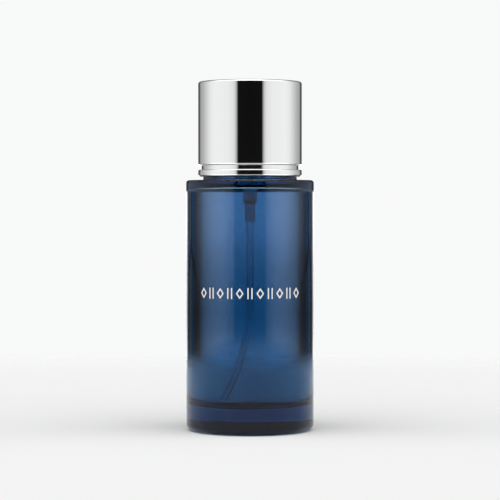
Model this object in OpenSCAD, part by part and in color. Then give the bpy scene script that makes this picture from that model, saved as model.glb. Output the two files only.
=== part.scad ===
// Aftershave atomiser: a heavy glass flask filled with liquid, a crimped spray pump with its
// dip tube, a bright collar round the neck and a tall pull-off cap.
// Millimetres, +Z up, origin at the middle of the face it stands on. The nozzle faces -Y.

/* [Flask] */
// Outer diameter of the glass body
bottle_d = 56; // [46:0.5:68]
// Height of the body up to its flat shoulder
bottle_h = 109.6; // [90:0.2:132]
// Thickness of the side wall
wall_t = 3.4; // [2.6:0.1:4.2]
// Thickness of the shoulder
shoulder_t = 3; // [2.4:0.1:4]
// Thickness of the solid base under the liquid
base_t = 11; // [8:0.2:14]
// Radius of the outer edge at the foot
foot_r = 2.8; // [1.5:0.1:4]
// Radius of the outer edge at the shoulder
edge_r = 1.2; // [0.6:0.1:2]
// Radius between the inner floor and the inner wall
floor_r = 6; // [3:0.5:9]
// Radius between the inner wall and the ceiling
ceiling_r = 2; // [1:0.1:3]
// Width of the flat ring that the flask stands on
rest_w = 3.2; // [2:0.1:5]
// Height of the shallow dome under the base
dome_h = 1.4; // [0.6:0.1:2.2]
// Diameter of the raised seat on the shoulder
seat_d = 41; // [34:0.5:50]
// Height of the raised seat
seat_h = 1.6; // [1:0.1:2.4]

/* [Neck] */
// Height of the neck above the seat
neck_h = 6.8; // [5.8:0.1:8.2]
// Diameter of the crimping bead
bead_d = 15; // [12.5:0.1:18]
// Height of the crimping bead
bead_h = 3.4; // [2.6:0.1:4.2]
// How far the neck steps in under the bead
bead_step = 0.9; // [0.6:0.1:1.1]
// Bore of the neck
bore_d = 9.5; // [7.9:0.1:10.4]

/* [Fill] */
// Air left between the liquid and the ceiling
head_space = 1.1; // [0.8:0.1:30]

/* [Printed band] */
// Height of the middle of the printed band above the foot
print_z = 61; // [45:1:75]
// Height of one printed figure
print_h = 4.7; // [3.5:0.1:6]
// Half of the angle that the printed band spans round the flask
print_half_angle = 45; // [25:1:70]
// Number of printed figures
print_count = 11; // [5:2:15]
// Width of a printed line
print_line = 0.55; // [0.4:0.05:0.8]
// Thickness of the ink
ink_t = 0.05; // [0.03:0.01:0.08]

/* [Pump] */
// Travel of the spray button
stroke = 4.8; // [3.8:0.1:5.8]
// Outer diameter of the hollow stem
stem_d = 3.2; // [2.6:0.1:3.9]
// Bore of the stem
stem_bore_d = 1.4; // [1:0.1:1.6]
// Wall of the pump barrel
barrel_wall = 1.1; // [0.8:0.05:1.3]
// Gap between the barrel and the neck's bore
barrel_gap = 0.55; // [0.3:0.05:0.9]
// Height of the piston
piston_h = 2.6; // [2:0.1:3.2]
// How far the piston slips on the stem to open the outlet
piston_slip = 0.5; // [0.3:0.05:0.6]
// Diameter of the inlet valve ball
ball_d = 2; // [1.6:0.1:2.4]
// How far the ball lifts off its seat
ball_lift = 0.8; // [0.5:0.1:1.2]
// Diameter of the valve stage under the barrel
valve_d = 4.6; // [4.2:0.1:6]
// Length of the valve stage
valve_l = 7.4; // [7:0.1:9]
// Length of the socket that holds the dip tube
socket_l = 8.2; // [5:0.1:10]
// Diameter of the spring wire
wire_d = 0.45; // [0.3:0.05:0.5]
// Number of turns in the return spring
spring_turns = 7; // [5:1:8]

/* [Dip tube] */
// Outer diameter of the dip tube
tube_d = 2.4; // [2:0.1:2.9]
// Bore of the dip tube
tube_bore_d = 1.5; // [1:0.1:1.7]
// Height of the curved lower stretch of the tube
tube_curve_h = 44.5; // [36:0.5:54]
// Radius that the tube takes where it curves
tube_curve_r = 115; // [95:1:140]
// Gap between the tube's end and the inner floor
tube_floor_gap = 2; // [1:0.1:4]

/* [Crimp and seals] */
// Thickness of the ferrule's sheet metal
ferrule_t = 0.4; // [0.3:0.05:0.5]
// Thickness of the gasket on the neck
neck_gasket_t = 0.9; // [0.6:0.1:1.2]
// Thickness of the gasket round the stem
stem_gasket_t = 1.1; // [0.8:0.1:1.4]
// Thickness of the pump's flange
flange_t = 1.1; // [0.8:0.1:1.4]

/* [Spray button] */
// Height of the spray button
button_h = 14.5; // [13.5:0.5:17]
// Wall of the button's skirt
button_wall = 1.1; // [0.9:0.1:1.4]
// Thickness of the button's metal sleeve
sleeve_t = 0.4; // [0.3:0.05:0.6]
// Diameter of the nozzle insert
nozzle_d = 4.2; // [3.6:0.1:5]
// Diameter of the spray orifice
orifice_d = 0.3; // [0.25:0.05:0.5]

/* [Collar] */
// Height of the collar's full-width band
band_h = 2.9; // [2.2:0.1:3.8]
// Radius on the edges of the band
band_edge_r = 0.45; // [0.3:0.05:0.6]
// How far the collar steps in over the band
groove_depth = 1.5; // [1:0.1:2]
// Height of the groove between the band and the cap
groove_h = 2.1; // [1.5:0.1:3]
// Thickness of the collar's sheet metal
collar_t = 0.6; // [0.5:0.05:0.8]
// Height of the guard tube above the groove
guard_h = 8.8; // [8:0.2:11]
// Number of ribs inside the collar
collar_ribs = 12; // [6:1:18]

/* [Cap] */
// Outer diameter of the cap and of the collar's band
cap_d = 45.4; // [38:0.2:54]
// Height of the cap
cap_h = 36.4; // [30.4:0.2:46]
// Thickness of the cap's metal shell
shell_t = 0.8; // [0.6:0.05:1]
// Radius of the cap's top edge
cap_edge_r = 0.9; // [0.5:0.05:1.5]
// Wall of the liner inside the cap
liner_wall = 1.2; // [0.9:0.1:1.5]
// Wall of the sleeve that grips the collar's guard tube
grip_wall = 1.2; // [0.9:0.1:1.5]
// Width of the flange that joins the sleeve to the liner
grip_flange = 6; // [4:0.5:7]

/* [Hidden] */
$fn = 96;

cut = 1;                // how far a cutting tool runs past the face that it opens
slide_fit = 0.05;       // gap all round a part that slides or turns in another
seat_fit = 0.02;        // gap between two parts that are pushed together for good
liquid_fit = 0.03;      // gap between the liquid and what holds it

// Flask
r_body = bottle_d / 2;
r_cavity = r_body - wall_t;
r_bore = bore_d / 2;
z_ceiling = bottle_h - shoulder_t;
z_fill = z_ceiling - head_space;
z_seat = bottle_h + seat_h;
z_bead_top = z_seat + neck_h;
z_bead_low = z_bead_top - bead_h;
r_bead = bead_d / 2;
r_neck = r_bead - bead_step;
bead_r = 0.8;           // rounding of the bead's outer edges
bore_r = 0.8;           // rounding where the bore opens into the flask
r_rest_out = r_body - foot_r;
r_dome = r_rest_out - rest_w;
dome_sphere_r = (pow(r_dome, 2) + pow(dome_h, 2)) / (2 * dome_h);

// Stack of the crimped pump, from the bead up
gasket_inset = 0.3;     // the gasket and the flange stay inside the bead's edge
z_gasket_top = z_bead_top + neck_gasket_t;
z_flange_top = z_gasket_top + flange_t;
r_flange = r_bead - gasket_inset;
barrel_rise = 2.8;      // barrel above its flange
z_barrel_top = z_flange_top + barrel_rise;
r_barrel = r_bore - barrel_gap;
r_chamber = r_barrel - barrel_wall;
cover_ledge = 0.4;      // step in the barrel that the cover sits on
z_cover_low = z_flange_top + 0.6;
r_stem = stem_d / 2;

// Piston, stem foot and spring at rest
piston_play = 0.2;      // room left over the piston when it has slipped all the way
z_piston_top = z_cover_low - piston_slip - piston_play;
z_piston_low = z_piston_top - piston_h;
foot_t = 0.7;
z_foot_low = z_piston_low - seat_fit - foot_t;
r_foot = (r_stem + r_chamber) / 2;
spring_block = wire_d * (spring_turns + 1) + 0.2;
z_chamber_floor = z_foot_low - stroke - spring_block;
chamber_floor_t = 1;
z_barrel_low = z_chamber_floor - chamber_floor_t;
r_spring = r_foot - wire_d / 2;

// Inlet valve and the dip tube's socket
z_valve_low = z_barrel_low - valve_l;
z_socket_low = z_valve_low - socket_l;
r_ball = ball_d / 2;
r_cage = r_ball + 0.3;
r_inlet = r_ball - 0.4;
r_lip = r_ball - 0.25;
socket_wall = 0.42;
socket_flare = 0.08;    // the socket is this much thicker at its mouth
tube_insert = socket_l; // the tube goes all the way up its socket
z_cone_low = z_valve_low + 0.8;
z_cone_top = z_cone_low + r_cage - r_inlet;
// height at which a ball touches a 45 degree cone that starts at the inlet
z_ball = z_cone_low + r_ball * sqrt(2) - r_inlet + seat_fit * sqrt(2);
z_lip = z_ball + ball_lift + sqrt(pow(r_ball, 2) - pow(r_lip, 2)) + 0.1;
lip_t = 0.5;
r_passage = r_ball;

// Dip tube
r_tube = tube_d / 2;
z_tube_end = base_t + tube_floor_gap;
z_tube_curve = z_tube_end + tube_curve_h;
tube_angle = asin(tube_curve_h / tube_curve_r);
foot_turn = 0.1;        // angle by which the liquid's gap runs on past the tube's foot

// Ferrule
r_ferrule_in = r_bead + slide_fit;
r_ferrule = r_ferrule_in + ferrule_t;
r_turret_in = r_barrel + slide_fit;
r_turret = r_turret_in + ferrule_t;
z_turret_top = z_barrel_top + stem_gasket_t + ferrule_t;
crimp_h = 0.65;         // height of the metal turned in under the bead
z_crimp_top = z_bead_low - slide_fit;

// Spray button
press_gap = 0.8;        // room left under the button when it is pressed all the way
z_button_low = z_flange_top + ferrule_t + stroke + press_gap;
z_button_top = z_button_low + button_h;
skirt_gap = 0.75;       // gap between the button's skirt and the turret
r_skirt_in = r_turret + skirt_gap;
r_button = r_skirt_in + button_wall;
r_sleeve = r_button + seat_fit + sleeve_t;
z_hollow_top = z_turret_top + stroke + 0.4;
socket_depth = 4.8;
z_stem_top = z_hollow_top + socket_depth;
r_boss = r_stem + 1.4;
z_nozzle = z_stem_top + 2.9;
r_nozzle = nozzle_d / 2;
r_post = r_nozzle - 1;
nozzle_depth = 2.6;
post_depth = 0.9;
feed_r = 0.45;

// Collar
r_cap = cap_d / 2;
z_band_top = z_seat + band_h;
z_step_top = z_band_top + groove_h;
r_step = r_cap - groove_depth;
r_guard_in = max(r_ferrule + slide_fit, r_sleeve + 0.5);
insert_wall = 0.85;
r_hub = r_guard_in + insert_wall;
r_guard = r_hub + slide_fit + collar_t;
z_guard_top = z_step_top + guard_h;

// Cap
z_cap_low = z_step_top + slide_fit;
z_cap_top = z_cap_low + cap_h;
r_shell_in = r_cap - shell_t;
liner_top_t = 1.5;
z_liner_top = z_cap_top - shell_t - seat_fit;
r_liner = r_shell_in - seat_fit;
z_liner_in = z_liner_top - liner_top_t;
r_grip_in = r_guard + slide_fit;
z_grip_top = z_liner_in - seat_fit;
grip_lead = 0.8;        // height of the sleeve's opened mouth

// Half of a section from radius a to b and height lo to hi, with its outer corners rounded
module rim(a, b, lo, hi, r_lo = 0, r_hi = 0) {
    translate([a, lo]) square([b - a - r_lo, hi - lo - r_hi]);
    translate([a, lo + r_lo]) square([b - a - r_hi, hi - lo - r_lo]);
    translate([a, lo + r_lo]) square([b - a, hi - lo - r_lo - r_hi]);
    if (r_lo > 0) translate([b - r_lo, lo + r_lo]) circle(r_lo);
    if (r_hi > 0) translate([b - r_hi, hi - r_hi]) circle(r_hi);
}

// A ring between two radii and two heights
module ring(a, b, lo, hi) rotate_extrude() translate([a, lo]) square([b - a, hi - lo]);

// A rod from height lo to height hi
module rod(r, lo, hi) translate([0, 0, lo]) cylinder(r = r, h = hi - lo);

// The curved lower stretch of the dip tube, of any section. It bends towards -X, and may run on
// past the tube's foot by an angle.
module bend(past_foot = 0)
    translate([-tube_curve_r, 0, z_tube_curve]) rotate([90, 0, 0])
        rotate_extrude(angle = -tube_angle - past_foot) translate([tube_curve_r, 0]) children();

// Outside of the pump housing, grown by a gap g all round
module housing_outside(g = 0) {
    r_mouth = r_tube + seat_fit + socket_wall + socket_flare;
    rotate_extrude() polygon([
        [0, z_socket_low - g],
        [r_mouth + g, z_socket_low - g],
        [r_mouth - socket_flare + g, z_valve_low - g],
        [valve_d / 2 - 0.5 + g, z_valve_low - g],
        [valve_d / 2 + g, z_valve_low + 0.5 - g],
        [valve_d / 2 + g, z_barrel_low - g],
        [r_barrel - 0.4 + g, z_barrel_low - g],
        [r_barrel + g, z_barrel_low + 0.4 - g],
        [r_barrel + g, z_barrel_top],
        [0, z_barrel_top],
    ]);
}

module bottle_glass() color([0.35, 0.48, 0.66, 0.6]) difference() {
    rotate_extrude() union() {
        rim(0, r_body, 0, bottle_h, foot_r, edge_r);
        translate([0, bottle_h / 2]) square([seat_d / 2, z_seat - bottle_h / 2]);
        translate([0, z_seat - cut]) square([r_neck, neck_h]);
        rim(0, r_bead, z_bead_low, z_bead_top, bead_r, bead_r);
    }
    rotate_extrude() rim(0, r_cavity, base_t, z_ceiling, floor_r, ceiling_r);
    rod(r_bore, z_ceiling - cut, z_bead_top + cut);
    translate([0, 0, z_ceiling - cut / 10])
        cylinder(r1 = r_bore + bore_r, r2 = r_bore, h = bore_r + cut / 10);
    translate([0, 0, dome_h - dome_sphere_r]) sphere(dome_sphere_r, $fn = 360);
}

// One printed figure, drawn flat: a lozenge in outline, or a pair of upright bars
module figure(odd) {
    half = print_h / 2;
    slim = half * 0.72;
    inner = 1 - print_line * sqrt(1 / pow(half, 2) + 1 / pow(slim, 2));
    if (odd)
        for (side = [-1, 1])
            translate([side * slim / 2 - print_line / 2, -half]) square([print_line, print_h]);
    else
        difference() {
            polygon([[0, -half], [slim, 0], [0, half], [-slim, 0]]);
            polygon([[0, -half], [slim, 0], [0, half], [-slim, 0]] * inner);
        }
}

// The figures stand side by side round the front of the flask
module printed_band() color([0.93, 0.91, 0.88]) intersection() {
    ring(r_body, r_body + ink_t, print_z - print_h, print_z + print_h);
    for (i = [0 : print_count - 1])
        rotate([0, 0, print_half_angle * (2 * i / (print_count - 1) - 1)])
            translate([0, -r_body + cut, print_z]) rotate([90, 0, 0])
                linear_extrude(2 * cut) figure(i % 2 == 1);
}

module aftershave_liquid() color([0.1, 0.28, 0.5, 0.8]) difference() {
    rotate_extrude() intersection() {
        rim(0, r_cavity - liquid_fit, base_t + liquid_fit, z_ceiling - liquid_fit,
            floor_r - liquid_fit, ceiling_r - liquid_fit);
        square([r_cavity, z_fill]);
    }
    housing_outside(liquid_fit);
    rod(r_tube + liquid_fit, z_tube_curve, z_valve_low);
    bend(foot_turn) circle(r_tube + liquid_fit, $fn = 32);
}

module dip_tube() color([0.85, 0.9, 0.95]) {
    ring(tube_bore_d / 2, r_tube, z_tube_curve, z_socket_low + tube_insert);
    bend() difference() {
        circle(r_tube, $fn = 32);
        circle(tube_bore_d / 2, $fn = 32);
    }
}

module pump_housing() color([0.9, 0.92, 0.95]) difference() {
    union() {
        housing_outside();
        rod(r_flange, z_gasket_top, z_flange_top);
    }
    rod(r_chamber, z_chamber_floor, z_barrel_top + cut);
    rod(r_chamber + cover_ledge, z_cover_low, z_barrel_top + cut);
    rod(r_tube + seat_fit, z_socket_low - cut, z_socket_low + tube_insert);
    rod(r_inlet, z_socket_low, z_cone_top);
    rotate_extrude() polygon([
        [0, z_cone_low], [r_inlet, z_cone_low], [r_cage, z_cone_top], [r_cage, z_lip],
        [r_lip, z_lip], [r_lip, z_lip + lip_t], [r_passage, z_lip + lip_t],
        [r_passage, z_chamber_floor + cut], [0, z_chamber_floor + cut],
    ]);
}

module inlet_ball() color([0.8, 0.8, 0.82]) translate([0, 0, z_ball]) sphere(r_ball);

// The spring is swept: rings of points follow a helix and are skinned into one closed solid
module return_spring() color([0.7, 0.7, 0.72]) {
    sides = 8;
    per_turn = 16;
    rings = spring_turns * per_turn;
    lo = z_chamber_floor + wire_d / 2 + seat_fit;
    hi = z_foot_low - wire_d / 2 - seat_fit;
    points = [
        for (i = [0 : rings]) for (j = [0 : sides - 1])
            let (a = 360 * i / per_turn, b = 360 * j / sides,
                 r = r_spring + wire_d / 2 * cos(b),
                 z = lo + (hi - lo) * i / rings + wire_d / 2 * sin(b))
            [r * cos(a), r * sin(a), z]
    ];
    skin = [
        for (i = [0 : rings - 1]) for (j = [0 : sides - 1])
            let (n = (j + 1) % sides)
            [i * sides + j, (i + 1) * sides + j, (i + 1) * sides + n, i * sides + n]
    ];
    ends = [
        [for (j = [0 : sides - 1]) j],
        [for (j = [sides - 1 : -1 : 0]) rings * sides + j],
    ];
    polyhedron(points, concat(skin, ends));
}

module piston() color([0.95, 0.95, 0.95]) difference() {
    rod(r_chamber - slide_fit, z_piston_low, z_piston_top);
    rod(r_stem + slide_fit, z_piston_low - cut, z_piston_top + cut);
    // the waist between the two sealing lips
    ring(r_chamber - 0.45, r_chamber + cut, z_piston_low + 0.8, z_piston_top - 0.8);
}

module stem() color([0.95, 0.95, 0.95]) difference() {
    union() {
        rod(r_foot, z_foot_low, z_foot_low + foot_t);
        rod(r_stem, z_foot_low, z_stem_top);
    }
    rod(stem_bore_d / 2, z_piston_low + 0.3, z_stem_top + cut);
    // the outlet that the piston covers at rest
    translate([0, 0, z_piston_low + 0.8]) rotate([90, 0, 0])
        cylinder(r = 0.3, h = 2 * r_stem + cut, center = true);
}

module barrel_cover() color([0.9, 0.92, 0.95])
    ring(r_stem + slide_fit, r_chamber + cover_ledge - seat_fit, z_cover_low + seat_fit, z_barrel_top);

module stem_gasket() color([0.15, 0.15, 0.16])
    ring(r_stem + slide_fit / 2, r_barrel, z_barrel_top, z_barrel_top + stem_gasket_t);

module neck_gasket() color([0.15, 0.15, 0.16])
    ring(r_barrel + seat_fit, r_flange, z_bead_top, z_gasket_top);

module crimp_ferrule() color([0.78, 0.79, 0.8]) rotate_extrude() polygon([
    [r_stem + 0.25, z_turret_top], [r_turret, z_turret_top],
    [r_turret, z_flange_top + ferrule_t], [r_ferrule, z_flange_top + ferrule_t],
    [r_ferrule, z_crimp_top - crimp_h], [r_neck + 0.15, z_crimp_top - crimp_h],
    [r_neck + 0.15, z_crimp_top], [r_ferrule_in, z_crimp_top],
    [r_ferrule_in, z_flange_top], [r_turret_in, z_flange_top],
    [r_turret_in, z_turret_top - ferrule_t], [r_stem + 0.25, z_turret_top - ferrule_t],
]);

module collar_insert() color([0.88, 0.88, 0.88]) {
    wall = 1;
    floor_t = 1;
    r_wall = r_step - collar_t - slide_fit;
    z_low = z_seat + seat_fit;
    z_top = z_step_top - collar_t - seat_fit;
    z_snap_top = z_crimp_top - crimp_h - seat_fit;
    difference() {
        union() {
            rod(r_wall, z_low, z_low + floor_t);
            ring(r_wall - wall, r_wall, z_low, z_top);
            rod(r_hub, z_low, z_guard_top - collar_t - seat_fit);
            for (i = [0 : collar_ribs - 1]) rotate([0, 0, 360 * i / collar_ribs])
                translate([r_hub - wall / 2, -wall / 2, z_low])
                    cube([r_wall - r_hub, wall, z_top - z_low]);
        }
        // the hub's bore, with a small lip left under the ferrule's crimped edge
        rod(r_ferrule - 0.25, z_low - cut, z_snap_top + cut);
        rod(r_ferrule + slide_fit, z_snap_top, z_guard_top + cut);
        rod(r_guard_in, z_flange_top + ferrule_t, z_guard_top + cut);
    }
}

module collar_ring() color([0.9, 0.91, 0.92]) rotate_extrude() difference() {
    union() {
        rim(r_guard - collar_t, r_cap, z_seat + seat_fit, z_band_top, band_edge_r, band_edge_r);
        translate([r_guard - collar_t, z_seat + cut]) square([r_step - r_guard + collar_t,
                                                              z_step_top - z_seat - cut]);
        translate([r_guard - collar_t, z_step_top - cut]) square([collar_t, guard_h + cut]);
        translate([r_guard_in + 0.2, z_guard_top - collar_t])
            square([r_guard - r_guard_in - 0.2, collar_t]);
    }
    translate([r_guard - 2 * collar_t, z_seat - cut])
        square([r_step - r_guard + collar_t, z_step_top - z_seat + cut - collar_t]);
    translate([r_step - 2 * collar_t, z_seat - cut])
        square([r_cap - r_step + collar_t, band_h + cut - collar_t]);
}

module spray_button() color([0.16, 0.17, 0.19]) difference() {
    rod(r_button, z_button_low, z_button_top);
    rod(r_skirt_in, z_button_low - cut, z_hollow_top);
    ring(r_boss, r_skirt_in, z_hollow_top - cut / 10, z_stem_top - 0.8);
    rod(r_stem + seat_fit, z_hollow_top - cut, z_stem_top + seat_fit);
    rod(0.6, z_stem_top - cut, z_nozzle + r_post + feed_r);
    translate([0, 0, z_nozzle + r_post + feed_r]) rotate([90, 0, 0])
        cylinder(r = feed_r, h = r_button - nozzle_depth + 0.3);
    // pocket for the nozzle, with the post that swirls the spray left standing in it
    translate([0, -r_button + nozzle_depth, z_nozzle]) rotate([90, 0, 0]) difference() {
        cylinder(r = r_nozzle + seat_fit, h = nozzle_depth + cut);
        translate([0, 0, -cut]) cylinder(r = r_post, h = nozzle_depth - post_depth + cut);
    }
}

module nozzle_insert() color([0.9, 0.9, 0.9])
    translate([0, -r_button + nozzle_depth - seat_fit, z_nozzle]) rotate([90, 0, 0]) difference() {
        cylinder(r = r_nozzle, h = nozzle_depth + sleeve_t - 0.1);
        translate([0, 0, -cut]) cylinder(r = r_post + 0.2, h = nozzle_depth - post_depth + 0.2 + cut);
        cylinder(d = orifice_d, h = nozzle_depth + cut, $fn = 16);
        // dish round the orifice
        translate([0, 0, nozzle_depth + sleeve_t - 0.4])
            cylinder(r1 = orifice_d, r2 = r_nozzle * 0.6, h = 0.4);
    }

module button_sleeve() color([0.9, 0.91, 0.92]) difference() {
    rotate_extrude() rim(0, r_sleeve, z_button_low + 0.2, z_button_top + seat_fit + sleeve_t, 0, 0.8);
    rod(r_button + seat_fit, z_button_low - cut, z_button_top + seat_fit);
    translate([0, 0, z_nozzle]) rotate([90, 0, 0])
        cylinder(r = r_nozzle + 0.35, h = r_sleeve + cut);
}

module cap_liner() color([0.92, 0.92, 0.92]) rotate_extrude() difference() {
    translate([0, z_cap_low]) square([r_liner, z_liner_top - z_cap_low]);
    translate([0, z_cap_low - cut]) square([r_liner - liner_wall, z_liner_in - z_cap_low + cut]);
}

// The sleeve that grips the guard tube. Its mouth opens out a little, to find the tube.
module cap_grip() color([0.85, 0.86, 0.87]) rotate_extrude() {
    translate([r_grip_in, z_cap_low + grip_lead]) square([grip_wall, z_grip_top - z_cap_low - grip_lead]);
    polygon([
        [r_grip_in, z_cap_low + grip_lead], [r_grip_in + grip_wall / 2, z_cap_low],
        [r_grip_in + grip_wall, z_cap_low], [r_grip_in + grip_wall, z_cap_low + grip_lead],
    ]);
    translate([r_grip_in, z_grip_top - liner_wall]) square([grip_flange, liner_wall]);
}

module cap_shell() color([0.9, 0.91, 0.92]) rotate_extrude() difference() {
    rim(0, r_cap, z_cap_low, z_cap_top, 0.3, cap_edge_r);
    translate([0, z_cap_low - cut]) square([r_shell_in, cap_h + cut - shell_t]);
}

bottle_glass();
printed_band();
aftershave_liquid();
dip_tube();
pump_housing();
inlet_ball();
return_spring();
piston();
stem();
barrel_cover();
stem_gasket();
neck_gasket();
crimp_ferrule();
collar_insert();
collar_ring();
spray_button();
button_sleeve();
nozzle_insert();
cap_liner();
cap_grip();
cap_shell();
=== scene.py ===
"""Aftershave atomiser: a heavy glass flask of blue liquid with its crimped pump, collar and cap.

Laid out as an add-on: each operator makes one piece or a group of like pieces round the CAD
frame, and the panel lists them. Run as a script, it makes them all in order.
"""

import math

import bpy
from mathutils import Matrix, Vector


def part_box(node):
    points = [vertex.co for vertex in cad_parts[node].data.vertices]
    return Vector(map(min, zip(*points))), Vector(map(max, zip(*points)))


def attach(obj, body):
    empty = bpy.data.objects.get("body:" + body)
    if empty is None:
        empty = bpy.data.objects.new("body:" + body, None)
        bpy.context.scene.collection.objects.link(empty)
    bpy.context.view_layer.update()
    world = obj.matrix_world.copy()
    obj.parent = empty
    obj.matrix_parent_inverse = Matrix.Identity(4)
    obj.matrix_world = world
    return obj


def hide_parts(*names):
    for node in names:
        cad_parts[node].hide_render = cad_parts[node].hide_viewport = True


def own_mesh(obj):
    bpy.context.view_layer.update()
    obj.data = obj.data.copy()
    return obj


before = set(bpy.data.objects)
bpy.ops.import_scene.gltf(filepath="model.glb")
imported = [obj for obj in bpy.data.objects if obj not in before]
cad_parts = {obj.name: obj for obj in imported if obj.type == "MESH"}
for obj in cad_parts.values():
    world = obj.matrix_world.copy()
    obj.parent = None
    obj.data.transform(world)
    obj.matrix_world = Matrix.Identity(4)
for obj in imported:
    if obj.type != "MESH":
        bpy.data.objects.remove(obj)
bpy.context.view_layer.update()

bl_info = {
    "name": "Aftershave atomiser",
    "version": (1, 0, 0),
    "blender": (4, 5, 0),
    "location": "3D Viewport > Sidebar > Atomiser",
    "description": "Builds a glass aftershave atomiser, piece by piece, round its CAD frame",
    "category": "Object",
}

MM = 0.001
ROUND_STEPS = 256       # faces round a polished or glass piece
PLAIN_STEPS = 96        # faces round a small moulded piece
ARC_STEP = math.radians(9)
SMOOTH_UNDER = math.radians(50)     # edges sharper than this stay sharp
GUARD = 0.15 * MM       # width of the narrow strips that keep a long wall's shading straight
WELD = 0.2 * MM * MM    # points closer than this are made one
HAIR = 0.01 * MM        # keeps two surfaces that would meet just apart
RUNNING_GAP = 0.02 * MM # clearance of a part that stands or slides against another
LIQUID_IOR = 1.36


def reach(node):
    """Largest distance of a CAD node from the bottle's axis along X."""
    low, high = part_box(node)
    return max(-low.x, high.x)


def foot(node):
    """Lowest height of a CAD node."""
    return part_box(node)[0].z


def top(node):
    """Highest height of a CAD node."""
    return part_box(node)[1].z


# Sizes ------------------------------------------------------------------------------------------


def length(name, description, default):
    """A length setting, in metres."""
    return bpy.props.FloatProperty(
        name=name, description=description, default=default, min=0.0, precision=5,
        subtype="DISTANCE", unit="LENGTH",
    )


def colour(name, description, default):
    """A colour setting."""
    return bpy.props.FloatVectorProperty(
        name=name, description=description, default=default, min=0.0, max=1.0, size=3,
        subtype="COLOR",
    )


class FlaskSettings(bpy.types.PropertyGroup):
    """Sizes of the glass flask that its box doesn't give."""

    wall: length("Side wall", "Thickness of the glass side", 3.4 * MM)
    base: length("Base", "Thickness of the glass under the liquid", 11 * MM)
    shoulder: length("Shoulder height", "Height of the flat shoulder", 109.6 * MM)
    shoulder_t: length("Shoulder", "Thickness of the glass shoulder", 3 * MM)
    seat_r: length("Seat radius", "Radius of the raised seat under the collar", 20.5 * MM)
    neck_r: length("Neck radius", "Radius of the neck under its bead", 6.6 * MM)
    bead_r: length("Bead radius", "Radius of the crimping bead", 7.5 * MM)
    bead_h: length("Bead height", "Height of the crimping bead", 3.4 * MM)
    bore_r: length("Bore radius", "Radius of the neck's bore", 4.75 * MM)
    foot_r: length("Foot radius", "Rounding of the outer edge at the foot", 2.8 * MM)
    floor_r: length("Inner foot", "Rounding inside, round the cavity's floor", 6 * MM)
    ceiling_r: length("Inner shoulder", "Rounding inside, under the shoulder", 2 * MM)
    rest_w: length("Bearing width", "Width of the ring that the flask stands on", 3.2 * MM)
    dome: length("Dome", "Height of the hollow under the base", 1.4 * MM)
    ior: bpy.props.FloatProperty(
        name="Index", description="Refractive index of the glass", default=1.47, min=1.3, max=2.0,
    )
    tint: colour("Surface tint", "Colour of the glass surface", (0.98, 0.99, 1.0))
    # Painted shade: the glass inside, above the liquid, takes this dark colour, half clear and
    # rough, to darken the bright line that light bent through the shoulder throws there
    painted_shade: colour("Painted shade", "Colour of the misted glass over the liquid", (0.05, 0.07, 0.11))
    painted_shade_clear: bpy.props.FloatProperty(
        name="Mist clearness", description="Share of the light that passes the misted glass",
        default=0.5, min=0.0, max=1.0,
    )
    painted_shade_rough: bpy.props.FloatProperty(
        name="Mist roughness", description="Roughness of the misted glass", default=0.12,
        min=0.0, max=1.0,
    )
    blue: colour("Glass colour", "Colour that the coloured glass lets through", (0.07, 0.46, 0.66))
    density: bpy.props.FloatProperty(
        name="Depth of colour", description="How strongly a metre of the glass absorbs",
        default=140.0, min=0.0,
    )


class LiquidSettings(bpy.types.PropertyGroup):
    """The contents."""

    blue: colour("Liquid colour", "Colour that the liquid lets through", (0.02, 0.455, 0.637))
    density: bpy.props.FloatProperty(
        name="Depth of colour", description="How strongly a metre of the liquid absorbs",
        default=100.0, min=0.0,
    )


class PumpSettings(bpy.types.PropertyGroup):
    """The pump's housing, with its dip tube and return spring."""

    barrel_r: length("Barrel", "Outer radius of the barrel", 4.2 * MM)
    chamber_r: length("Chamber", "Radius of the chamber that the piston runs in", 3.1 * MM)
    port_r: length("Port", "Radius of the port under the chamber", 1 * MM)
    valve_r: length("Valve", "Radius of the room round the inlet ball", 1.3 * MM)
    duct_r: length("Duct", "Radius of the duct under the inlet ball", 0.6 * MM)
    stage_r: length("Valve stage", "Radius of the valve stage", 2.3 * MM)
    socket_r: length("Socket", "Radius of the dip tube's socket", 1.72 * MM)
    flange_z: length("Flange height", "Height of the top of the housing's flange", 120 * MM)
    barrel_z: length("Barrel height", "Height of the foot of the barrel", 106.98 * MM)
    port_z: length("Port height", "Height of the foot of the port", 104 * MM)
    valve_high: length("Valve top", "Height of the top of the room round the ball", 103.5 * MM)
    valve_low: length("Valve foot", "Height of the foot of the room round the ball", 101 * MM)
    seat_z: length("Seat", "Height of the foot of the ball's seat", 100.3 * MM)
    stage_z: length("Stage height", "Height of the foot of the valve stage", 99.58 * MM)
    tube_r: length("Tube", "Radius of the dip tube", 1.2 * MM)
    tube_wall: length("Tube wall", "Wall of the dip tube", 0.45 * MM)
    bend_z: length("Bend", "Height at which the tube starts to curve", 57.5 * MM)
    curve_h: length("Curve height", "Height of the tube's curved stretch", 44.5 * MM)
    curve_r: length("Curve radius", "Radius of the tube's curved stretch", 115 * MM)
    wire_r: length("Spring wire", "Radius of the return spring's wire", 0.225 * MM)
    turns: bpy.props.IntProperty(
        name="Turns", description="Turns of the return spring", default=7, min=2, max=12,
    )


class MetalSettings(bpy.types.PropertyGroup):
    """The polished cap and collar."""

    sheet: length("Cap sheet", "Thickness of the cap's metal", 0.8 * MM)
    cap_edge: length("Cap edge", "Rounding of the cap's top edge", 0.9 * MM)
    collar_sheet: length("Collar sheet", "Thickness of the collar's metal", 0.6 * MM)
    band_h: length("Band", "Height of the collar's full-width band", 2.9 * MM)
    groove: length("Groove", "How far the collar steps in over the band", 1.5 * MM)
    guard_r: length("Guard tube", "Radius of the tube inside the cap", 9.5 * MM)
    shine: bpy.props.FloatProperty(
        name="Roughness", description="Roughness of the polished metal", default=0.022,
        min=0.0, max=1.0,
    )
    silver: colour("Metal", "Colour of the polished metal", (0.93, 0.935, 0.94))


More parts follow.
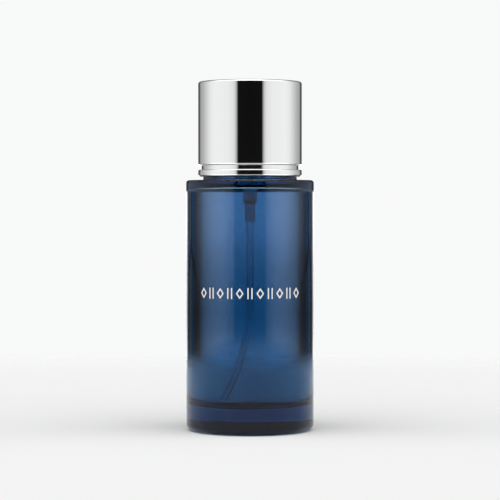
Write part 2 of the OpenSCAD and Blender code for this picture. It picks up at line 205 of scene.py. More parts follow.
class StageSettings(bpy.types.PropertyGroup):
    """The studio round the bottle."""

    distance: length("Camera distance", "From the bottle's axis to the lens", 0.870)
    eye: length("Camera height", "Height of the lens above the floor", 0.09874)
    aim: length("Aim height", "Height on the axis that the lens points at", 0.07897)
    lens: bpy.props.FloatProperty(
        name="Lens", description="Focal length for a 36 mm sensor", default=142.55, min=1.0,
    )
    floor_r: length("Floor", "Radius of the floor before it fades out", 0.38)
    floor_near: length("Floor offset", "How far the floor's middle is in front", 0.12)


# Studio -----------------------------------------------------------------------------------------

# Brightness of the panels by their angle in degrees round from the camera: the ones that stand
# at the floor's edge, and the ones above the horizon
LOW_PANELS = (
    (0, 0.003), (26.5, 0.003), (30, 0.55), (33, 0.68), (40, 0.88), (46, 1.2), (56, 1.3),
    (66, 1.28), (73, 1.1), (89, 0.68), (101, 0.3), (112, 0.18), (121, 0.08), (128, 0.05),
    (132, 0.12), (140, 0.2), (142, 0.04), (145, 0.04), (150, 0.16), (155, 0.52), (160, 0.8),
    (165, 1.05), (169, 1.15), (180, 1.0),
)
HIGH_PANELS = (
    (0, 0.005), (26.5, 0.006), (30, 0.4), (33, 0.66), (38, 0.80), (50, 0.88), (84, 0.92),
    (98, 0.85), (112, 0.66), (126, 0.48), (143, 0.37), (148, 0.2), (151, 0.09), (158, 0.08),
    (180, 0.05),
)
# the panels overhead, and the one right at the top
TOP_PANELS = ((0, 1.6), (95, 1.6), (125, 0.22), (180, 0.22))
ZENITH_LEVEL = 1.6
# the angles above the horizon between which one ring of panels gives way to the next
HIGH_FROM = (0.36, 0.42)
TOP_FROM = (22, 34)
ZENITH_FROM = (70, 80)
# light that the low panels gain at the horizon
EDGE_PANELS = (
    (0, 1.0), (27, 1.0), (33, 1.2), (56, 1.15), (73, 1.0), (89, 0.7), (101, 0.45), (112, 0.2),
    (121, 0.05), (128, 0.0),
)
# how strong that gain is, by the angle in degrees above the horizon
GLOW = (
    (-5.0, 0.6), (-4.2, 0.5), (-3.6, 0.15), (-3.1, 0.05), (-1.9, 0.3), (-1.3, 0.57),
    (-0.9, 0.8), (-0.3, 1.0), (0.6, 1.0),
)
# the dark gap between two low panels leans: its angle round at two angles above the horizon
GAP_LOW = (-2.3, 146.5)
GAP_HIGH = (-0.9, 131.0)
GAP_CORE, GAP_EDGE = 1.56, 3.64     # degrees from its middle to where it starts and stops to fade
GAP_LEVEL = 0.12
BACKDROP = (0.94, 0.945, 0.945, 1.0)
FLOOR_DARK = (0.94, 0.94, 0.94)
FLOOR_LIGHT = (0.96, 0.96, 0.96)
FLOOR_DROP = 0.05 * MM      # the floor lies this far under the bottle's foot


def rise(degrees):
    """Height of a direction of length one that points up by this angle."""
    return math.sin(math.radians(degrees))


# Modelling --------------------------------------------------------------------------------------


def fresh():
    """Leaves nothing selected, in object mode."""
    if bpy.context.object and bpy.context.object.mode != "OBJECT":
        bpy.ops.object.mode_set(mode="OBJECT")
    bpy.ops.object.select_all(action="DESELECT")


def rounded(corners, split_z=None):
    """The corners (r, z, rounding) joined by straight lines and arcs, as (r, z) points.

    An arc that crosses the height split_z gets a point exactly there.
    """
    points = []
    for i, (r, z, rounding) in enumerate(corners):
        here = Vector((r, z))
        if rounding == 0 or i in (0, len(corners) - 1):
            points.append(here)
            continue
        to_last = (Vector(corners[i - 1][:2]) - here).normalized()
        to_next = (Vector(corners[i + 1][:2]) - here).normalized()
        opening = to_last.angle(to_next)
        centre = here + (to_last + to_next).normalized() * rounding / math.sin(opening / 2)
        tangent = rounding / math.tan(opening / 2)
        arm_a = here + to_last * tangent - centre
        arm_b = here + to_next * tangent - centre
        a = math.atan2(arm_a.y, arm_a.x)
        turn = (math.atan2(arm_b.y, arm_b.x) - a + math.pi) % (2 * math.pi) - math.pi
        count = max(2, round(abs(turn) / ARC_STEP))
        angles = [a + turn * n / count for n in range(count + 1)]
        if split_z is not None and abs(split_z - centre.y) < rounding:
            level = math.asin((split_z - centre.y) / rounding)
            for split in (level, math.pi - level):
                if min(a, a + turn) < split < max(a, a + turn):
                    angles = sorted(angles + [split], reverse=turn < 0)
        points += [centre + rounding * Vector((math.cos(t), math.sin(t))) for t in angles]
    return guarded(points)


def guarded(points):
    """The same outline with a point close to each end of every long straight stretch."""
    result = points[:1]
    for last, point in zip(points, points[1:]):
        step = point - last
        if step.length > 6 * GUARD:
            result.append(last + step.normalized() * GUARD)
            result.append(point - step.normalized() * GUARD)
        result.append(point)
    return result


def draw_outline(name, points, closed=False):
    """Draws the outline in the XZ plane by extruding one vertex along it; stays in edit mode."""
    fresh()
    bpy.ops.mesh.primitive_plane_add(size=MM, location=(0, 0, 0))
    piece = bpy.context.object
    piece.name = name
    piece.data.name = name
    bpy.ops.object.mode_set(mode="EDIT")
    bpy.ops.mesh.select_mode(type="VERT")
    bpy.ops.mesh.select_all(action="SELECT")
    bpy.ops.mesh.merge(type="CENTER")
    bpy.ops.transform.translate(value=(points[0][0], 0, points[0][1]))
    for last, point in zip(points, points[1:]):
        step = (point[0] - last[0], 0, point[1] - last[1])
        bpy.ops.mesh.extrude_region_move(TRANSFORM_OT_translate={"value": step})
    if closed:
        bpy.ops.mesh.extrude_region_move(
            TRANSFORM_OT_translate={
                "value": (points[0][0] - points[-1][0], 0, points[0][1] - points[-1][1])
            }
        )
        bpy.ops.mesh.select_all(action="SELECT")
        bpy.ops.mesh.remove_doubles(threshold=WELD)
    return piece


def lathe(name, corners, closed=False, steps=ROUND_STEPS, split_z=None):
    """Turns an outline of (r, z, rounding) corners about the bottle's axis into a closed solid."""
    piece = draw_outline(name, rounded(corners, split_z), closed)
    bpy.ops.mesh.select_all(action="SELECT")
    bpy.ops.mesh.spin(steps=steps, angle=2 * math.pi, center=(0, 0, 0), axis=(0, 0, 1))
    bpy.ops.mesh.select_all(action="SELECT")
    bpy.ops.mesh.remove_doubles(threshold=WELD)
    bpy.ops.mesh.normals_make_consistent(inside=False)
    bpy.ops.object.mode_set(mode="OBJECT")
    bpy.ops.object.shade_smooth_by_angle(angle=SMOOTH_UNDER)
    return piece


def cut_level(piece, height, keep_below):
    """Cuts a closed piece at a height, keeps one side of it and closes the cut."""
    fresh()
    piece.select_set(True)
    bpy.context.view_layer.objects.active = piece
    bpy.ops.object.mode_set(mode="EDIT")
    bpy.ops.mesh.select_all(action="SELECT")
    bpy.ops.mesh.bisect(
        plane_co=(0, 0, height), plane_no=(0, 0, 1), use_fill=True,
        clear_outer=keep_below, clear_inner=not keep_below, threshold=MM * MM,
    )
    bpy.ops.mesh.select_all(action="SELECT")
    bpy.ops.mesh.normals_make_consistent(inside=False)
    bpy.ops.object.mode_set(mode="OBJECT")


def finish_piece(piece, body, nodes, materials, pick=None):
    """Gives a new piece its materials, its body and the CAD nodes it stands for.

    pick(face centre) says which of several materials a face takes.
    """
    piece.data.materials.clear()
    for material in materials:
        piece.data.materials.append(material)
    if pick:
        for face in piece.data.polygons:
            face.material_index = pick(face.center)
    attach(piece, body)
    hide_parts(*nodes)


# Materials --------------------------------------------------------------------------------------


def shader(name, **sockets):
    """A new material with a Principled shader, its sockets set by name."""
    material = bpy.data.materials.new(name)
    material.use_nodes = True
    principled = material.node_tree.nodes["Principled BSDF"]
    for socket, value in sockets.items():
        value = (*value, 1.0) if isinstance(value, tuple) else value
        principled.inputs[socket.replace("_", " ")].default_value = value
    return material, principled


def place_nodes(material):
    """Object coordinates of a material, for its patterns."""
    return material.node_tree.nodes.new("ShaderNodeTexCoord").outputs["Object"]


def noise(material, scale, detail=2.0, stretch=None):
    """A noise pattern on Object coordinates, stretched along the axes if asked."""
    tree = material.node_tree
    pattern = tree.nodes.new("ShaderNodeTexNoise")
    pattern.inputs["Scale"].default_value = scale
    pattern.inputs["Detail"].default_value = detail
    place = place_nodes(material)
    if stretch:
        mapping = tree.nodes.new("ShaderNodeMapping")
        mapping.inputs["Scale"].default_value = stretch
        tree.links.new(place, mapping.inputs["Vector"])
        place = mapping.outputs["Vector"]
    tree.links.new(place, pattern.inputs["Vector"])
    return pattern.outputs["Fac"]


def spread(material, source, low, high):
    """Maps a 0 to 1 pattern onto low to high."""
    tree = material.node_tree
    remap = tree.nodes.new("ShaderNodeMapRange")
    remap.inputs["To Min"].default_value = low
    remap.inputs["To Max"].default_value = high
    tree.links.new(source, remap.inputs["Value"])
    return remap.outputs["Result"]


def bump(material, principled, height, distance):
    """Drives the shader's normal from a height pattern."""
    tree = material.node_tree
    node = tree.nodes.new("ShaderNodeBump")
    node.inputs["Strength"].default_value = 1.0
    node.inputs["Distance"].default_value = distance
    tree.links.new(height, node.inputs["Height"])
    tree.links.new(node.outputs["Normal"], principled.inputs["Normal"])


def shade_between(material, principled, pattern, dark, light):
    """Colours the surface between two colours by a pattern."""
    tree = material.node_tree
    mix = tree.nodes.new("ShaderNodeMix")
    mix.data_type = "RGBA"
    mix.inputs["A"].default_value = (*dark, 1.0)
    mix.inputs["B"].default_value = (*light, 1.0)
    tree.links.new(pattern, mix.inputs["Factor"])
    tree.links.new(mix.outputs["Result"], principled.inputs["Base Color"])


def glass_material(name, ior, tint, clear=1.0, roughness=0.0):
    """Moulded flint glass, seen across one of its boundaries, with its faint waviness."""
    material, principled = shader(
        name, Base_Color=tuple(tint), Roughness=roughness, IOR=ior, Transmission_Weight=clear,
        Specular_Tint=(0.7, 0.71, 0.74),
    )
    bump(material, principled, noise(material, 60, 1.0, stretch=(1, 1, 0.35)), 0.004 * MM)
    return material


def interface_material(name, ior):
    """A clear boundary with nothing but its own bending of the light."""
    return shader(
        name, Base_Color=(1.0, 1.0, 1.0), Roughness=0.0, IOR=ior, Transmission_Weight=1.0,
    )[0]


def absorbing_material(name, settings):
    """Clear coloured matter inside a boundary: its colour is absorbed on the way through."""
    material = interface_material(name, 1.0)
    tree = material.node_tree
    absorb = tree.nodes.new("ShaderNodeVolumeAbsorption")
    absorb.inputs["Color"].default_value = (*settings.blue, 1.0)
    absorb.inputs["Density"].default_value = settings.density
    tree.links.new(absorb.outputs["Volume"], tree.nodes["Material Output"].inputs["Volume"])
    return material


def polished_material(name, settings):
    """Mirror-polished anodised aluminium with the faint lines of the polishing wheel."""
    material, principled = shader(
        name, Base_Color=tuple(settings.silver), Metallic=1.0, Roughness=settings.shine,
    )
    lines = noise(material, 900, 2.0, stretch=(1, 1, 0.02))
    tree = material.node_tree
    tree.links.new(
        spread(material, lines, settings.shine * 0.7, settings.shine * 1.3),
        principled.inputs["Roughness"],
    )
    bump(material, principled, noise(material, 45, 1.0, stretch=(1, 1, 0.5)), 0.002 * MM)
    return material


def moulded_material(name, dark, light, roughness, grain=1600, depth=0.003, **sockets):
    """Moulded plastic: a slight cloudiness in its colour and a fine spark-eroded grain."""
    material, principled = shader(name, **sockets)
    shade_between(material, principled, noise(material, 180, 3.0), dark, light)
    tree = material.node_tree
    fine = noise(material, grain, 3.0)
    tree.links.new(
        spread(material, fine, roughness * 0.8, roughness * 1.2), principled.inputs["Roughness"]
    )
    bump(material, principled, fine, depth * MM)
    return material


# Operators --------------------------------------------------------------------------------------


class ATOMISER_OT_stage(bpy.types.Operator):
    """Makes the camera, the soft studio light and the pale floor"""

    bl_idname = "atomiser.stage"
    bl_label = "Stage"

    def execute(self, context):
        settings = context.scene.atomiser_stage
        self.place_camera(context, settings)
        self.light_studio(context)
        self.lay_floor(settings)
        context.scene.view_settings.view_transform = "Standard"
        context.scene.cycles.max_bounces = 40
        context.scene.cycles.transmission_bounces = 40
        return {"FINISHED"}

    def place_camera(self, context, settings):
        """Stands the camera in front of the bottle, a little over half its height."""
        fresh()
        bpy.ops.object.camera_add(location=(0, -settings.distance, settings.eye))
        camera = context.object
        camera.name = "studio_camera"
        camera.data.sensor_width = 36
        camera.data.lens = settings.lens
        aim = Vector((0, 0, settings.aim)) - camera.location
        camera.rotation_euler = aim.to_track_quat("-Z", "Y").to_euler()
        camera.data.clip_start = 0.05
        camera.data.clip_end = 20
        context.scene.camera = camera

    def light_studio(self, context):
        """Soft panels all round, laid out by their direction as seen from the bottle."""
        world = bpy.data.worlds.new("soft_studio")
        world.use_nodes = True
        context.scene.world = world
        tree = world.node_tree
        nodes, links = tree.nodes, tree.links
        background = nodes["Background"]
        direction = nodes.new("ShaderNodeTexCoord").outputs["Generated"]
        parts = nodes.new("ShaderNodeSeparateXYZ")
        links.new(direction, parts.inputs["Vector"])

        def math_node(operation, *values):
            """The result of a sum on numbers or on other nodes' results."""
            node = nodes.new("ShaderNodeMath")
            node.operation = operation
            for socket, value in zip(node.inputs, values):
                if isinstance(value, (int, float)):
                    socket.default_value = value
                else:
                    links.new(value, socket)
            return node.outputs[0]

        def ramp(source, stops):
            """Brightness by straight lines between (position, level) stops."""
            node = nodes.new("ShaderNodeValToRGB")
            node.color_ramp.interpolation = "LINEAR"
            elements = node.color_ramp.elements
            while len(elements) < len(stops):
                elements.new(0.5)
            for element, (position, level) in zip(elements, stops):
                element.position = position
                element.color = (level, level, level, 1.0)
            links.new(source, node.inputs["Fac"])
            return node.outputs["Color"]

        def near(source, low, high):
            """0 to 1 as the source goes from low to high."""
            node = nodes.new("ShaderNodeMapRange")
            node.inputs["From Min"].default_value = low
            node.inputs["From Max"].default_value = high
            links.new(source, node.inputs["Value"])
            return node.outputs["Result"]

        def above(degrees):
            """0 to 1 as the direction rises from the first of two angles to the second."""
            return near(parts.outputs["Z"], rise(degrees[0]), rise(degrees[1]))

        def blend(factor, a, b):
            """a + factor * (b - a)"""
            return math_node("MULTIPLY_ADD", factor, math_node("SUBTRACT", b, a), a)

        def ring(panels):
            """Brightness of a ring of panels in the direction looked at."""
            return ramp(round_angle, [(angle / 180, value) for angle, value in panels])

        # angle round from straight behind the camera, as a share of half a turn
        round_angle = math_node(
            "DIVIDE",
            math_node(
                "ABSOLUTE",
                math_node(
                    "ARCTAN2", parts.outputs["X"], math_node("MULTIPLY", parts.outputs["Y"], -1)
                ),
            ),
            math.pi,
        )
        low_panels = ring(LOW_PANELS)
        bottom, span = rise(GLOW[0][0]), rise(GLOW[-1][0]) - rise(GLOW[0][0])
        glow = ramp(
            above((GLOW[0][0], GLOW[-1][0])),
            [((rise(angle) - bottom) / span, value) for angle, value in GLOW],
        )
        gain = math_node("MULTIPLY", glow, math_node("ADD", low_panels, ring(EDGE_PANELS)))
        middle = blend(above((GAP_LOW[0], GAP_HIGH[0])), GAP_LOW[1] / 180, GAP_HIGH[1] / 180)
        off_gap = math_node("ABSOLUTE", math_node("SUBTRACT", round_angle, middle))
        past_gap = near(off_gap, GAP_CORE / 180, GAP_EDGE / 180)
        lower = math_node(
            "MULTIPLY", math_node("ADD", low_panels, gain), blend(past_gap, GAP_LEVEL, 1.0)
        )
        level = blend(above(HIGH_FROM), lower, ring(HIGH_PANELS))
        level = blend(above(TOP_FROM), level, ring(TOP_PANELS))
        level = blend(above(ZENITH_FROM), level, ZENITH_LEVEL)
        light = nodes.new("ShaderNodeCombineColor")
        for socket in light.inputs:
            links.new(level, socket)

        # the camera itself sees a plain pale backdrop
        path = nodes.new("ShaderNodeLightPath")
        seen = nodes.new("ShaderNodeMix")
        seen.data_type = "RGBA"
        links.new(path.outputs["Is Camera Ray"], seen.inputs["Factor"])
        links.new(light.outputs["Color"], seen.inputs["A"])
        seen.inputs["B"].default_value = BACKDROP
        links.new(seen.outputs["Result"], background.inputs["Color"])

    def lay_floor(self, settings):
        """Lays a pale round floor that fades out towards its edge."""
        fresh()
        bpy.ops.mesh.primitive_circle_add(
            vertices=96, radius=settings.floor_r * 1.6, fill_type="NGON",
            location=(0, -settings.floor_near, -FLOOR_DROP),
        )
        floor = bpy.context.object
        floor.name = "studio_floor"
        material, principled = shader("pale_floor", Roughness=0.9)
        tree = material.node_tree
        shade_between(material, principled, noise(material, 12), FLOOR_DARK, FLOOR_LIGHT)
        far = tree.nodes.new("ShaderNodeVectorMath")
        far.operation = "LENGTH"
        tree.links.new(place_nodes(material), far.inputs[0])
        fade = tree.nodes.new("ShaderNodeMapRange")
        fade.interpolation_type = "SMOOTHSTEP"
        fade.inputs["From Min"].default_value = settings.floor_r
        fade.inputs["From Max"].default_value = settings.floor_r * 1.55
        fade.inputs["To Min"].default_value = 1.0
        fade.inputs["To Max"].default_value = 0.0
        tree.links.new(far.outputs["Value"], fade.inputs["Value"])
        tree.links.new(fade.outputs["Result"], principled.inputs["Alpha"])
        floor.data.materials.append(material)


class ATOMISER_OT_flask(bpy.types.Operator):
    """Turns the heavy glass flask, with its seat, neck and domed base"""

    bl_idname = "atomiser.flask"
    bl_label = "Glass flask"

    def execute(self, context):
        s = context.scene.atomiser_flask
        body_r, neck_top = reach("bottle_glass"), top("bottle_glass")
        seat_z, fill_z = foot("collar_ring") - RUNNING_GAP, top("aftershave_liquid")
        ceiling_z = s.shoulder - s.shoulder_t
        dome_r = body_r - s.foot_r - s.rest_w
        sphere_r = (dome_r**2 + s.dome**2) / (2 * s.dome)
        rings = 12
        dome = []
        for n in range(rings):
            r = dome_r * n / rings
            dome.append((r, s.dome - sphere_r + math.sqrt(sphere_r**2 - r**2), 0))
        outline = [
            *dome,
            (dome_r, 0, 0.3 * MM),
            (body_r, 0, s.foot_r),
            (body_r, s.shoulder, 1.2 * MM),
            (s.seat_r, s.shoulder, 0.5 * MM),
            (s.seat_r, seat_z, 0.4 * MM),
            (s.neck_r, seat_z, 0.5 * MM),
            (s.neck_r, neck_top - s.bead_h, 0),
            (s.bead_r, neck_top - s.bead_h, 0.8 * MM),
            (s.bead_r, neck_top, 0.8 * MM),
            (s.bore_r, neck_top, 0.3 * MM),
            (s.bore_r, ceiling_z + 0.8 * MM, 0.4 * MM),
            (s.bore_r + 0.8 * MM, ceiling_z, 0.4 * MM),
            (body_r - s.wall, ceiling_z, s.ceiling_r),
            (body_r - s.wall, s.base, s.floor_r),
            (0, s.base, 0),
        ]
        flask = lathe("glass_flask", outline, split_z=fill_z)
        dry = glass_material("blue_flint_glass", s.ior, s.tint)
        wet = glass_material("wetted_flint_glass", s.ior / LIQUID_IOR, s.tint)
        # painted shade: dark, half-clear, rough glass inside above the liquid darkens the bright
        # line that light bent through the shoulder throws under it
        shaded = glass_material("painted_shade_flint_glass", s.ior, s.painted_shade, s.painted_shade_clear, s.painted_shade_rough)
        margin = 0.1 * MM

        def side_of_glass(centre):
            """0 outside, 1 under the liquid, 2 inside above the liquid, which takes the painted
            shade.
            """
            if math.hypot(centre.x, centre.y) > body_r - s.wall + margin:
                return 0
            if not s.base - margin < centre.z < ceiling_z + margin:
                return 0
            return 1 if centre.z < fill_z else 2

        finish_piece(
            flask, "flask", ["bottle_glass"], [dry, wet, shaded], side_of_glass
        )
        core = lathe("coloured_glass_core", outline)
        bpy.ops.object.mode_set(mode="EDIT")
        bpy.ops.mesh.select_all(action="SELECT")
        bpy.ops.transform.shrink_fatten(value=-HAIR)
        bpy.ops.object.mode_set(mode="OBJECT")
        coloured = absorbing_material("blue_glass", s)
        finish_piece(core, "flask", ["bottle_glass"], [coloured])
        return {"FINISHED"}


class ATOMISER_OT_contents(bpy.types.Operator):
    """Pours the blue liquid, with its level surface"""

    bl_idname = "atomiser.contents"
    bl_label = "Aftershave"

    def execute(self, context):
        s = context.scene.atomiser_flask
        fill_z = top("aftershave_liquid")
        skin_t = 0.08 * MM
        inner_r = reach("bottle_glass") - s.wall - HAIR
        ceiling_z = s.shoulder - s.shoulder_t - HAIR
        outline = [
            (0, s.base + HAIR, 0),
            (inner_r, s.base + HAIR, s.floor_r - HAIR),
            (inner_r, ceiling_z, s.ceiling_r - HAIR),
            (0, ceiling_z, 0),
        ]
        liquid = lathe("blue_aftershave", outline)
        surface = lathe("liquid_surface", outline)
        cut_level(liquid, fill_z - skin_t - 2 * HAIR, True)
        cut_level(surface, fill_z - skin_t, False)
        cut_level(surface, fill_z, True)
        settings = context.scene.atomiser_liquid
        deep = absorbing_material("blue_liquid", settings)
        finish_piece(liquid, "flask", ["aftershave_liquid"], [deep])
        skin = interface_material("liquid_to_air", LIQUID_IOR)
        under = interface_material("within_liquid", 1.0)
        finish_piece(
            surface, "flask", ["aftershave_liquid"], [under, skin],
            lambda centre: int(centre.z > fill_z - skin_t / 4),
        )
        return {"FINISHED"}


class ATOMISER_OT_pump(bpy.types.Operator):
    """Moulds the pump's housing and dip tube and gives them their plastics"""

    bl_idname = "atomiser.pump"
    bl_label = "Pump"

    def execute(self, context):
        s = context.scene.atomiser_pump
        clear = moulded_material(
            "natural_polyethylene", (0.84, 0.88, 0.91), (0.89, 0.92, 0.94), 0.06,
            Transmission_Weight=1.0, IOR=1.13,
        )
        milky = moulded_material(
            "natural_polypropylene", (0.80, 0.85, 0.89), (0.86, 0.90, 0.93), 0.24,
            Transmission_Weight=1.0, IOR=1.13,
        )
        self.bend_tube(context, s, clear)
        self.turn_housing(s, milky)
        return {"FINISHED"}

    def bend_tube(self, context, s, material):
        """A ring of edges is pulled down straight, spun round the bend and given its wall."""
        fresh()
        high = top("dip_tube")
        rings = 8
        bpy.ops.mesh.primitive_circle_add(vertices=40, radius=s.tube_r, location=(0, 0, 0))
        tube = context.object
        tube.name = "curved_dip_tube"
        bpy.ops.object.mode_set(mode="EDIT")
        bpy.ops.mesh.select_all(action="SELECT")
        bpy.ops.transform.translate(value=(0, 0, high))
        for _ in range(rings):
            bpy.ops.mesh.extrude_region_move(
                TRANSFORM_OT_translate={"value": (0, 0, (s.bend_z - high) / rings)}
            )
        angle = math.asin(s.curve_h / s.curve_r)
        bpy.ops.mesh.spin(
            steps=24, angle=-angle, center=(-s.curve_r, 0, s.bend_z), axis=(0, 1, 0)
        )
        bpy.ops.mesh.select_all(action="SELECT")
        bpy.ops.mesh.remove_doubles(threshold=WELD)
        bpy.ops.mesh.normals_make_consistent(inside=False)
        bpy.ops.object.mode_set(mode="OBJECT")
        wall = tube.modifiers.new("wall", "SOLIDIFY")
        wall.thickness = s.tube_wall
        wall.offset = -1
        bpy.ops.object.modifier_apply(modifier=wall.name)
        bpy.ops.object.shade_smooth_by_angle(angle=SMOOTH_UNDER)
        finish_piece(tube, "flask", ["dip_tube"], [material])

    def turn_housing(self, s, material):
        """The outline runs up the outside, over the flange and back down through the bore."""
        flange_r, flange_low = reach("pump_housing"), top("neck_gasket")
        low, high = foot("pump_housing"), top("pump_housing")
        bore_r = s.tube_r + RUNNING_GAP
        ledge_r, ledge_z = s.chamber_r + 0.4 * MM, s.flange_z + 0.6 * MM   # for the barrel cover
        chamber_z = s.barrel_z + 1 * MM
        outline = [
            (bore_r, low, 0),
            (s.socket_r, low, 0.12 * MM),
            (s.socket_r - 0.08 * MM, s.stage_z - 0.2 * MM, 0.3 * MM),
            (s.stage_r, s.stage_z + 0.6 * MM, 0.8 * MM),
            (s.stage_r, s.barrel_z, 0.2 * MM),
            (s.barrel_r, s.barrel_z, 0.4 * MM),
            (s.barrel_r, flange_low, 0),
            (flange_r, flange_low, 0.15 * MM),
            (flange_r, s.flange_z, 0.15 * MM),
            (s.barrel_r, s.flange_z, 0),
            (s.barrel_r, high, 0.1 * MM),
            (ledge_r, high, 0.1 * MM),
            (ledge_r, ledge_z, 0),
            (s.chamber_r, ledge_z, 0),
            (s.chamber_r, chamber_z, 0.2 * MM),
            (s.port_r, chamber_z, 0),
            (s.port_r, s.port_z, 0),
            (s.valve_r, s.valve_high, 0),
            (s.valve_r, s.valve_low, 0),
            (s.duct_r, s.seat_z, 0),
            (s.duct_r, s.stage_z, 0),
            (bore_r, s.stage_z, 0),
        ]
        housing = lathe("pump_moulding", outline, closed=True, steps=PLAIN_STEPS)
        finish_piece(housing, "flask", ["pump_housing"], [material])


class ATOMISER_OT_spring(bpy.types.Operator):
    """Winds the return spring at its rest length"""

    bl_idname = "atomiser.spring"
    bl_label = "Return spring"

    def execute(self, context):
        s = context.scene.atomiser_pump
        low, high = foot("return_spring"), top("return_spring")
        fresh()
        bpy.ops.mesh.primitive_circle_add(vertices=12, radius=s.wire_r, location=(0, 0, 0))
        spring = context.object
        spring.name = "wound_spring"
        bpy.ops.object.mode_set(mode="EDIT")
        bpy.ops.mesh.select_all(action="SELECT")
        bpy.ops.transform.rotate(
            value=math.pi / 2, orient_axis="X", center_override=(0, 0, 0)
        )
        bpy.ops.transform.translate(
            value=(reach("return_spring") - s.wire_r, 0, low + s.wire_r)
        )
        bpy.ops.object.mode_set(mode="OBJECT")
        winding = spring.modifiers.new("winding", "SCREW")
        winding.axis = "Z"
        winding.angle = 2 * math.pi
        winding.screw_offset = (high - low - 2 * s.wire_r) / s.turns
        winding.iterations = s.turns
        winding.steps = winding.render_steps = 32
        bpy.ops.object.modifier_apply(modifier=winding.name)
        bpy.ops.object.mode_set(mode="EDIT")
        bpy.ops.mesh.select_all(action="SELECT")
        bpy.ops.mesh.remove_doubles(threshold=WELD)
        bpy.ops.mesh.fill_holes(sides=0)
        bpy.ops.mesh.select_all(action="SELECT")
        bpy.ops.mesh.normals_make_consistent(inside=False)
        bpy.ops.object.mode_set(mode="OBJECT")
        bpy.ops.object.shade_smooth_by_angle(angle=SMOOTH_UNDER)
        steel = moulded_material(
            "drawn_steel", (0.58, 0.57, 0.55), (0.66, 0.65, 0.63), 0.22, Metallic=1.0
        )
        finish_piece(spring, "flask", ["return_spring"], [steel])
        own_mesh(spring)
        return {"FINISHED"}


class ATOMISER_OT_collar(bpy.types.Operator):
    """Spins the polished collar, with its band, groove and guard tube"""

    bl_idname = "atomiser.collar"
    bl_label = "Collar"

    def execute(self, context):
        s = context.scene.atomiser_metal
        band_r = reach("collar_ring")
        low, guard_top = foot("collar_ring"), top("collar_ring")
        step_r = band_r - s.groove
        band_top = low - RUNNING_GAP + s.band_h
        step_top = foot("cap_shell") - 0.05 * MM
        t = s.collar_sheet
        lip_r = band_r - t - 0.1 * MM
        mouth_r = s.guard_r - 1.3 * MM
        outline = [
            (lip_r, low, 0.1 * MM),
            (band_r, low, 0.45 * MM),
            (band_r, band_top, 0.45 * MM),
            (step_r, band_top, 0.12 * MM),
            (step_r, step_top, 0.3 * MM),
            (s.guard_r, step_top, 0.2 * MM),
            (s.guard_r, guard_top, 0.3 * MM),
            (mouth_r, guard_top, 0.1 * MM),
            (mouth_r, guard_top - t, 0.1 * MM),
            (s.guard_r - t, guard_top - t, 0.1 * MM),
            (s.guard_r - t, step_top - t, 0.1 * MM),
            (step_r - t, step_top - t, 0.1 * MM),
            (step_r - t, band_top - t, 0.1 * MM),
            (lip_r, band_top - t, 0.1 * MM),
        ]
        collar = lathe("polished_collar", outline, closed=True)
        metal = polished_material("polished_aluminium", s)
        finish_piece(collar, "flask", ["collar_ring"], [metal])
        return {"FINISHED"}


class ATOMISER_OT_cap(bpy.types.Operator):
    """Draws the tall polished cap"""

    bl_idname = "atomiser.cap"
    bl_label = "Cap"

    def execute(self, context):
        s = context.scene.atomiser_metal
        cap_r, low, high = reach("cap_shell"), foot("cap_shell"), top("cap_shell")
        t = s.sheet
        outline = [
            (0, high, 0),
            (cap_r, high, s.cap_edge),
            (cap_r, low, 0.3 * MM),
            (cap_r - t, low, 0.1 * MM),
            (cap_r - t, high - t, 0.2 * MM),
            (0, high - t, 0),
        ]
        shell = lathe("polished_cap", outline)
        metal = bpy.data.materials["polished_aluminium"]
        finish_piece(shell, "cap", ["cap_shell"], [metal])
        return {"FINISHED"}


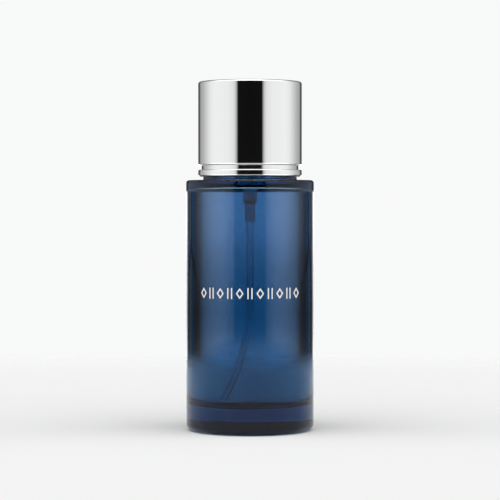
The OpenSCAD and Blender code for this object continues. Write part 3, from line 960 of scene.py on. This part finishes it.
class ATOMISER_OT_finishes(bpy.types.Operator):
    """Gives each CAD part that stays its own finish"""

    bl_idname = "atomiser.finishes"
    bl_label = "Finishes of the other parts"

    def execute(self, context):
        metal = bpy.data.materials["polished_aluminium"]
        white = moulded_material(
            "white_polypropylene", (0.80, 0.80, 0.79), (0.86, 0.86, 0.85), 0.35, IOR=1.49,
            Subsurface_Weight=0.05,
        )
        grey = moulded_material(
            "grey_acetal", (0.020, 0.021, 0.024), (0.028, 0.029, 0.032), 0.42, IOR=1.48
        )
        rubber = moulded_material(
            "black_nitrile", (0.012, 0.012, 0.013), (0.02, 0.02, 0.021), 0.7, IOR=1.5
        )
        steel = bpy.data.materials["drawn_steel"]
        ferrule = moulded_material(
            "ferrule_aluminium", (0.74, 0.74, 0.74), (0.82, 0.82, 0.81), 0.16, Metallic=1.0
        )
        ink = moulded_material(
            "ceramic_ink", (0.78, 0.755, 0.72), (0.86, 0.835, 0.80), 0.5, grain=2600,
            depth=0.004, IOR=1.5,
        )
        plastic = bpy.data.materials["natural_polypropylene"]
        finishes = {
            "printed_band": ink, "inlet_ball": steel, "piston": white, "stem": white,
            "barrel_cover": plastic, "stem_gasket": rubber, "neck_gasket": rubber,
            "crimp_ferrule": ferrule, "collar_insert": white, "spray_button": grey,
            "button_sleeve": metal, "nozzle_insert": white, "cap_grip": white,
            "cap_liner": white,
        }
        for node, material in finishes.items():
            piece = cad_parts[node]
            piece.data.materials.clear()
            piece.data.materials.append(material)
        return {"FINISHED"}


# Panel and registration -------------------------------------------------------------------------


PIECES = (
    ATOMISER_OT_stage, ATOMISER_OT_flask, ATOMISER_OT_contents, ATOMISER_OT_pump,
    ATOMISER_OT_spring, ATOMISER_OT_collar, ATOMISER_OT_cap, ATOMISER_OT_finishes,
)
SETTINGS = {
    "atomiser_flask": FlaskSettings, "atomiser_liquid": LiquidSettings,
    "atomiser_pump": PumpSettings, "atomiser_metal": MetalSettings,
    "atomiser_stage": StageSettings,
}


class ATOMISER_PT_pieces(bpy.types.Panel):
    """Lists the settings and the pieces of the atomiser"""

    bl_label = "Aftershave atomiser"
    bl_idname = "ATOMISER_PT_pieces"
    bl_space_type = "VIEW_3D"
    bl_region_type = "UI"
    bl_category = "Atomiser"

    def draw(self, context):
        for name, settings in SETTINGS.items():
            box = self.layout.box()
            for prop in settings.__annotations__:
                box.prop(getattr(context.scene, name), prop)
        for piece in PIECES:
            self.layout.operator(piece.bl_idname)


def register():
    for cls in (*SETTINGS.values(), *PIECES, ATOMISER_PT_pieces):
        bpy.utils.register_class(cls)
    for name, settings in SETTINGS.items():
        setattr(bpy.types.Scene, name, bpy.props.PointerProperty(type=settings))


def unregister():
    for name in SETTINGS:
        delattr(bpy.types.Scene, name)
    for cls in reversed((*SETTINGS.values(), *PIECES, ATOMISER_PT_pieces)):
        bpy.utils.unregister_class(cls)


def main():
    """Makes every piece in order."""
    register()
    bpy.ops.atomiser.stage()
    bpy.ops.atomiser.flask()
    bpy.ops.atomiser.contents()
    bpy.ops.atomiser.pump()
    bpy.ops.atomiser.spring()
    bpy.ops.atomiser.collar()
    bpy.ops.atomiser.cap()
    bpy.ops.atomiser.finishes()
    fresh()


if __name__ == "__main__":
    main()
